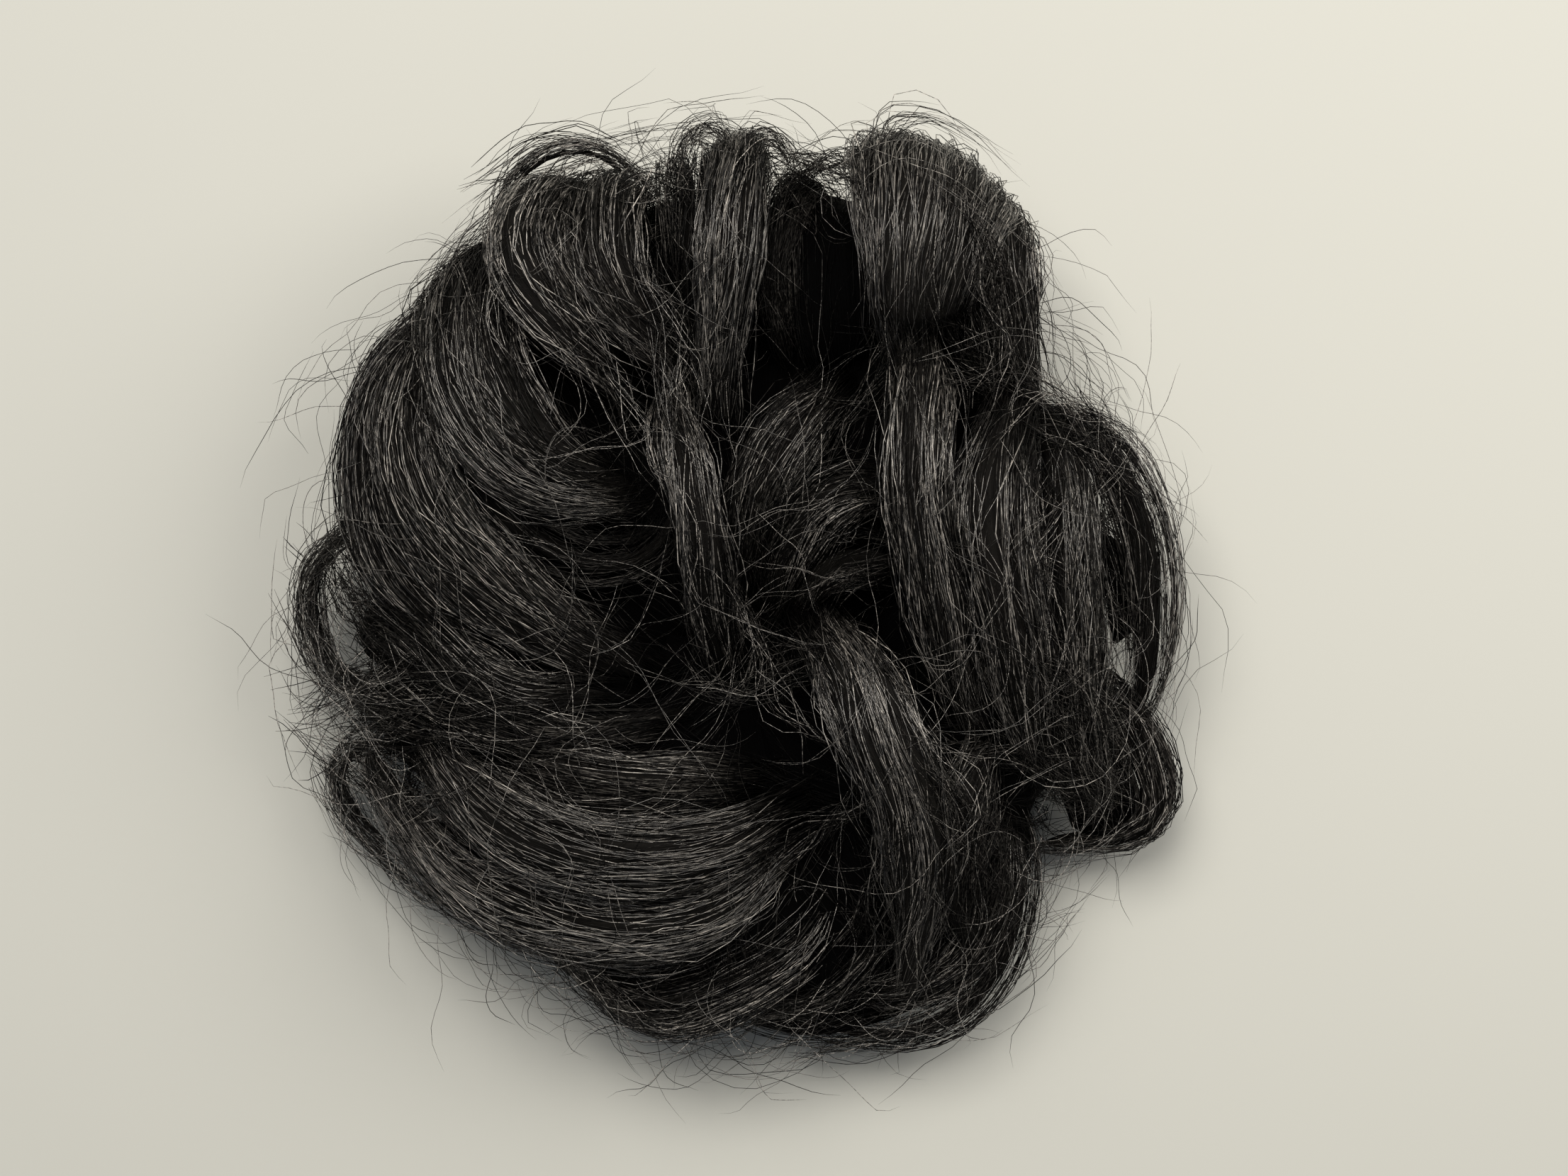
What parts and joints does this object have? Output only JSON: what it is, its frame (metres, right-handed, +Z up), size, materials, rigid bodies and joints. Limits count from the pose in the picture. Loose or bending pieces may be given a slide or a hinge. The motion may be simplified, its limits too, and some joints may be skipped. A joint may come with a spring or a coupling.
{
  "type": "messy bun hairpiece",
  "caption": "Round messy bun hairpiece: long curled locks of near-black hair piled over a small elastic band that they are sewn to.",
  "frame": {"origin": "middle of the bun's box, on the surface that it lies on", "axes": "+Z up through the crown, +Y to the side of the big folded lock, +X to the side of the long upright locks"},
  "size_m": [0.1476, 0.154, 0.0577],
  "materials": {
    "hair": "combed fibre, soft sheen",
    "under_hair": "tousled fibre, matt",
    "elastic": "covered elastic cord"
  },
  "bodies": {
    "root": {"elastic_band": "elastic", "under_hair": "under_hair", "lock_lower_middle": "hair", "lock_long_right": "hair", "lock_top_right_fold": "hair", "lock_middle_wave": "hair", "lock_top_middle": "hair", "lock_upper_left_front": "hair", "lock_left_c_curl": "hair", "lock_upper_left_back": "hair", "lock_right_fold_side": "hair", "lock_right_wave": "hair", "lock_lower_branch": "hair", "lock_right_middle": "hair", "lock_centre_curl_upper": "hair", "lock_centre_curl_lower": "hair", "lock_centre_tuft": "hair", "lock_top_left_tuft": "hair", "lock_top_inner_curl": "hair", "lock_left_inner": "hair", "lock_left_arc": "hair", "lock_swirl_middle": "hair", "lock_bottom_lobe": "hair", "lock_swirl_outer": "hair", "lock_swirl_inner": "hair", "lock_left_outer": "hair", "lock_left_tangle": "hair", "lock_left_band": "hair", "lock_left_loop": "hair", "lock_left_low_loop": "hair", "lock_upper_left_arch": "hair", "lock_bottom_middle": "hair", "lock_right_outer": "hair", "lock_right_corner": "hair", "lock_bottom_right_inner": "hair", "lock_bottom_right_loop": "hair"}
  },
  "joints": []
}
